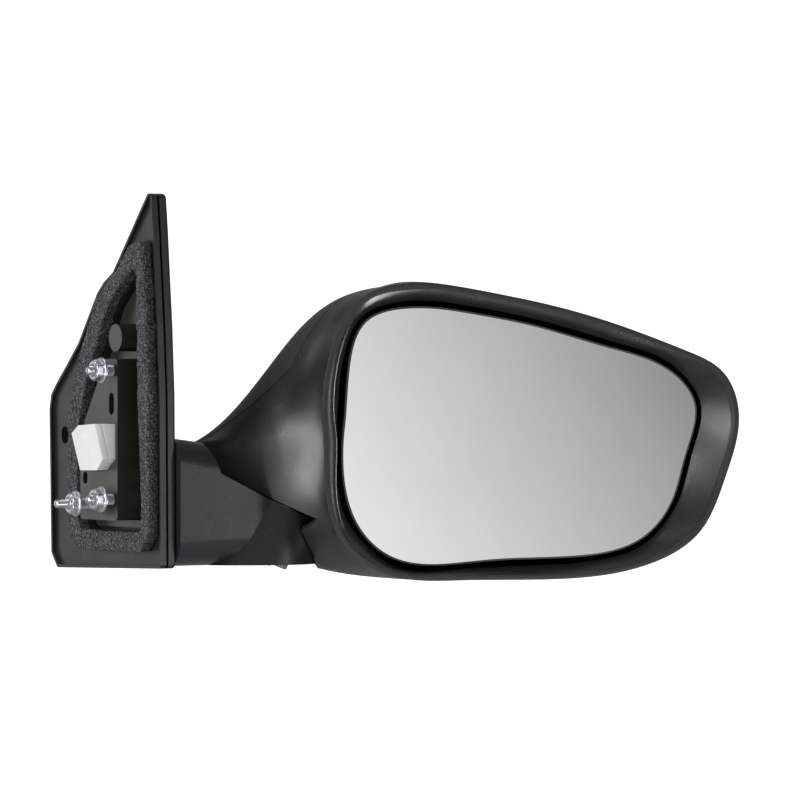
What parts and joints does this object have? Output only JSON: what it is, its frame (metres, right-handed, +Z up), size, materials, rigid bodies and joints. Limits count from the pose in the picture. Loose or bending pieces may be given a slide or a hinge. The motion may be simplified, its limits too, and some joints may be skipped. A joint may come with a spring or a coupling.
{
  "type": "car side mirror",
  "caption": "Right-hand door mirror: sail-shaped base plate with threaded studs, short foot, folding head and a glass that tilts two ways.",
  "frame": {"origin": "on the plane of the mounting block's face, at the middle of the wiring connector", "axes": "+X outboard, away from the door; +Y towards the front of the car; +Z up"},
  "size_m": [0.3306, 0.2233, 0.2015],
  "materials": {
    "shell_plastic": "fine-grained charcoal moulded plastic",
    "cap_plastic": "fine-grained charcoal moulded plastic, primed for paint",
    "foot_plastic": "satin black moulded plastic",
    "cover_plastic": "satin black moulded plastic",
    "gasket_foam": "open-cell grey foam",
    "base_metal": "black coated steel",
    "cast_metal": "as cast",
    "zinc_steel": "bright zinc plate",
    "connector_nylon": "natural white nylon",
    "mirror_glass": "first-surface silvered, slightly domed",
    "pad_rubber": "adhesive heater pad",
    "carrier_plastic": "black moulded plastic",
    "drive_plastic": "acetal",
    "case_plastic": "glass-filled nylon",
    "motor_steel": "drawn can",
    "worm_brass": "machined",
    "spring_steel": "phosphated"
  },
  "bodies": {
    "base": {"foot_cover": "foot_plastic", "foot_bracket": "cast_metal", "sail_cover": "cover_plastic", "foam_gasket": "gasket_foam", "mounting_base": "base_metal", "mounting_studs": "zinc_steel", "flange_nuts": "zinc_steel", "wiring_connector": "connector_nylon", "connector_lock": "connector_nylon", "base_screws": "zinc_steel", "detent_ring_lower": "spring_steel", "fold_spring": "spring_steel", "spring_retainer": "spring_steel"},
    "head": {"housing_body": "shell_plastic", "skull_cap": "cap_plastic", "turret_plate": "shell_plastic", "head_frame": "case_plastic", "actuator_case_rear": "case_plastic", "actuator_case_front": "case_plastic", "actuator_screws": "zinc_steel", "yaw_motor": "motor_steel", "pitch_motor": "motor_steel", "detent_ring_upper": "spring_steel"},
    "gimbal": {"tilt_gimbal": "carrier_plastic"},
    "glass": {"glass_carrier": "carrier_plastic", "adhesive_pad": "pad_rubber", "mirror_glass": "mirror_glass"},
    "yaw_screw": {"yaw_jackscrew": "drive_plastic"},
    "pitch_screw": {"pitch_jackscrew": "drive_plastic"},
    "yaw_wheel": {"yaw_gear": "drive_plastic"},
    "pitch_wheel": {"pitch_gear": "drive_plastic"},
    "yaw_worm_shaft": {"yaw_worm": "worm_brass"},
    "pitch_worm_shaft": {"pitch_worm": "worm_brass"}
  },
  "joints": [
    {"name": "head_fold", "type": "hinge", "parent": "base", "child": "head", "pos_m": [0.09422, -0.01498, -0.0374], "axis": [0.4169, -0.1355, 0.8988], "range_deg": [-45, 35]},
    {"name": "glass_yaw", "type": "hinge", "parent": "head", "child": "gimbal", "pos_m": [0.20028, -0.06942, 0.002], "axis": [0, 0, 1], "range_deg": [-7.5, 7.5]},
    {"name": "glass_pitch", "type": "hinge", "parent": "gimbal", "child": "glass", "pos_m": [0.20028, -0.06942, 0.002], "axis": [0.9511, -0.309, 0], "range_deg": [-7.5, 7.5]},
    {"name": "yaw_screw_slide", "type": "slide", "parent": "head", "child": "yaw_screw", "axis": [0.309, 0.9511, 0], "range_m": [-0.0052, 0.0052]},
    {"name": "pitch_screw_slide", "type": "slide", "parent": "head", "child": "pitch_screw", "axis": [0.309, 0.9511, 0], "range_m": [-0.0052, 0.0052]},
    {"name": "yaw_gear_spin", "type": "hinge", "parent": "head", "child": "yaw_wheel", "pos_m": [0.23818, -0.06281, 0.002], "axis": [0.309, 0.9511, 0], "range_deg": [-300, 300]},
    {"name": "pitch_gear_spin", "type": "hinge", "parent": "head", "child": "pitch_wheel", "pos_m": [0.20585, -0.0523, -0.032], "axis": [0.309, 0.9511, 0], "range_deg": [-300, 300]},
    {"name": "yaw_worm_spin", "type": "hinge", "parent": "head", "child": "yaw_worm_shaft", "pos_m": [0.22601, -0.05885, 0.002], "axis": [0, 0, 1], "range_deg": [-2900, 2900]},
    {"name": "pitch_worm_spin", "type": "hinge", "parent": "head", "child": "pitch_worm_shaft", "pos_m": [0.20585, -0.0523, -0.0192], "axis": [-0.9511, 0.309, 0], "range_deg": [-2900, 2900]}
  ],
  "couplings": [
    {"joint": "yaw_screw_slide", "follows": "glass_yaw", "m_per_rad": 0.034},
    {"joint": "pitch_screw_slide", "follows": "glass_pitch", "m_per_rad": 0.034},
    {"joint": "yaw_gear_spin", "follows": "glass_yaw", "ratio": 35.605},
    {"joint": "pitch_gear_spin", "follows": "glass_pitch", "ratio": 35.605},
    {"joint": "yaw_worm_spin", "follows": "glass_yaw", "ratio": 356.05},
    {"joint": "pitch_worm_spin", "follows": "glass_pitch", "ratio": 356.05}
  ]
}
